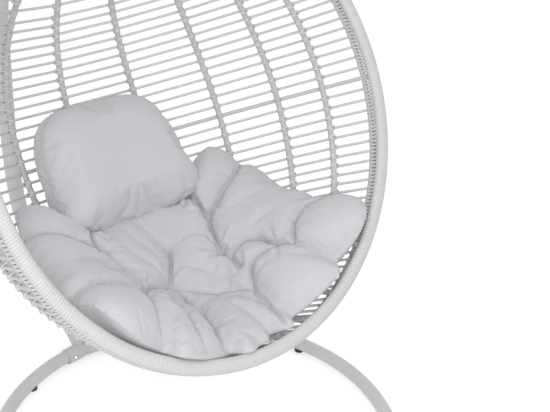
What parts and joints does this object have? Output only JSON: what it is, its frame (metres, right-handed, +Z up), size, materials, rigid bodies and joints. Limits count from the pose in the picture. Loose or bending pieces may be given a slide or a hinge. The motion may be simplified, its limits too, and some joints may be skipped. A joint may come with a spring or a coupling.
{
  "type": "hanging chair",
  "caption": "Round wicker hanging chair: an open bowl of ribs and thin rods with loose cushions, hung by a swivel snap hook from a curved pole on a floor ring.",
  "frame": {"origin": "on the floor under the hook, at the bottom centre of the chair's bounding box", "axes": "+Z up, the chair faces -Y, +X to the sitter's left when seated and to the right when seen from the front"},
  "size_m": [1.0984, 1.3602, 1.7385],
  "materials": {
    "white_wicker": "satin",
    "white_powder_coat": "satin",
    "zinc_plate": "satin",
    "black_plastic": "matte",
    "pale_fabric": "matte"
  },
  "bodies": {
    "stand": {"base_ring_left": "white_powder_coat", "base_ring_right": "white_powder_coat", "base_joiner": "white_powder_coat", "foot_front_left": "black_plastic", "foot_front_right": "black_plastic", "foot_middle_left": "black_plastic", "foot_middle_right": "black_plastic", "foot_rear_left": "black_plastic", "foot_rear_right": "black_plastic", "pole_socket": "white_powder_coat", "lower_pole": "white_powder_coat", "upper_pole": "white_powder_coat", "pole_spigot": "white_powder_coat", "pole_end_cap": "black_plastic", "front_bolt_left": "zinc_plate", "front_bolt_right": "zinc_plate", "rear_bolt_left": "zinc_plate", "rear_bolt_right": "zinc_plate", "pole_foot_bolt": "zinc_plate", "pole_joint_bolt_low": "zinc_plate", "pole_joint_bolt_high": "zinc_plate", "hanger_eye": "zinc_plate", "hanger_nut": "zinc_plate"},
    "hanger": {"shackle": "zinc_plate", "shackle_pin": "zinc_plate"},
    "swivel_top": {"swivel_housing": "zinc_plate"},
    "basket": {"swivel_stem": "zinc_plate", "snap_hook": "zinc_plate", "gate_pin": "zinc_plate", "hanging_loop": "white_powder_coat", "rim_frame": "white_wicker", "rib_centre": "white_wicker", "rib_left_1": "white_wicker", "rib_left_2": "white_wicker", "rib_left_3": "white_wicker", "rib_left_4": "white_wicker", "rib_right_1": "white_wicker", "rib_right_2": "white_wicker", "rib_right_3": "white_wicker", "rib_right_4": "white_wicker", "middle_hoop": "white_wicker", "wicker_upper": "white_wicker", "wicker_lower": "white_wicker", "seat_cushion": "pale_fabric", "back_cushion": "pale_fabric"},
    "gate": {"snap_gate": "zinc_plate"}
  },
  "joints": [
    {"name": "swing_front_back", "type": "hinge", "parent": "stand", "child": "hanger", "pos_m": [0, 0, 1.62756], "axis": [1, 0, 0], "range_deg": [-12, 12]},
    {"name": "swing_sideways", "type": "hinge", "parent": "hanger", "child": "swivel_top", "pos_m": [0, 0, 1.59836], "axis": [0, 1, 0], "range_deg": [-10, 10]},
    {"name": "swivel_turn", "type": "hinge", "parent": "swivel_top", "child": "basket", "pos_m": [0, 0, 1.54536], "axis": [0, 0, 1], "range_deg": [-40, 40]},
    {"name": "gate_open", "type": "hinge", "parent": "basket", "child": "gate", "pos_m": [0, -0.019, 1.43886], "axis": [-1, 0, 0], "range_deg": [0, 20], "stiffness_Nm_per_rad": 0.3, "springref_deg": -11.46}
  ]
}
